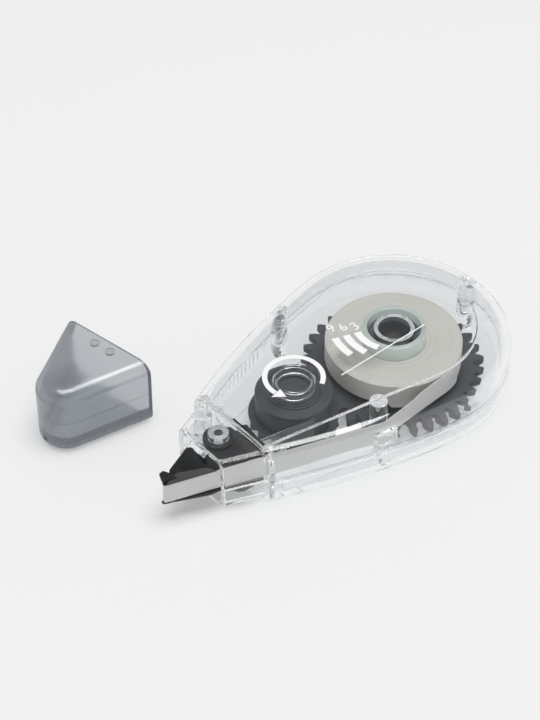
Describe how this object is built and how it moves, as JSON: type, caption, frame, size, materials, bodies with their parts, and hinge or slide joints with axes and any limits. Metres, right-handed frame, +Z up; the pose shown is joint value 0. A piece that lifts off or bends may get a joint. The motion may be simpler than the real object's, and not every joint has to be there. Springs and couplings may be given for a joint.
{
  "type": "correction tape",
  "caption": "Refillable-style correction tape: clear teardrop case with geared supply and take-up reels, a black tape head and a loose smoky cap beside it.",
  "frame": {"origin": "on the supply reel's axis, on the flat underside that the case lies on", "axes": "-X towards the tape head, +Y to the side where the loose cap lies, +Z up along the reel axes"},
  "size_m": [0.0955, 0.073, 0.017],
  "materials": {
    "clear_case": "polished clear polystyrene",
    "smoky_cap": "smoky translucent polystyrene",
    "black_moulding": "black acetal, satin moulded",
    "clutch_rubber": "soft black rubber",
    "clear_core": "clear greenish polystyrene",
    "white_tape": "dry white correction film",
    "spent_film": "translucent carrier film"
  },
  "bodies": {
    "case": {"lower_shell": "clear_case", "upper_shell": "clear_case", "head": "black_moulding", "fresh_tape": "white_tape", "return_tape": "spent_film"},
    "drive": {"drive_gear": "black_moulding", "clutch_ring": "clutch_rubber"},
    "supply": {"supply_core": "clear_core", "tape_roll": "white_tape"},
    "take_up": {"take_up_reel": "black_moulding", "take_up_flange": "black_moulding", "spent_ribbon": "spent_film"},
    "cap": {"cap": "smoky_cap"}
  },
  "joints": [
    {"name": "drive_spin", "type": "hinge", "parent": "case", "child": "drive", "pos_m": [0, 0, 0.0036], "axis": [0, 0, 1], "continuous": true},
    {"name": "supply_slip", "type": "hinge", "parent": "drive", "child": "supply", "pos_m": [0, 0, 0.0088], "axis": [0, 0, 1], "continuous": true},
    {"name": "take_up_spin", "type": "hinge", "parent": "case", "child": "take_up", "pos_m": [-0.0274, 0.0015, 0.0088], "axis": [0, 0, 1], "continuous": true},
    {"name": "cap_pull", "type": "slide", "parent": "case", "child": "cap", "axis": [-0.9833, -0.1822, 0], "range_m": [0, 0.0205]}
  ],
  "couplings": [
    {"joint": "take_up_spin", "follows": "drive_spin", "ratio": -2.2667}
  ]
}
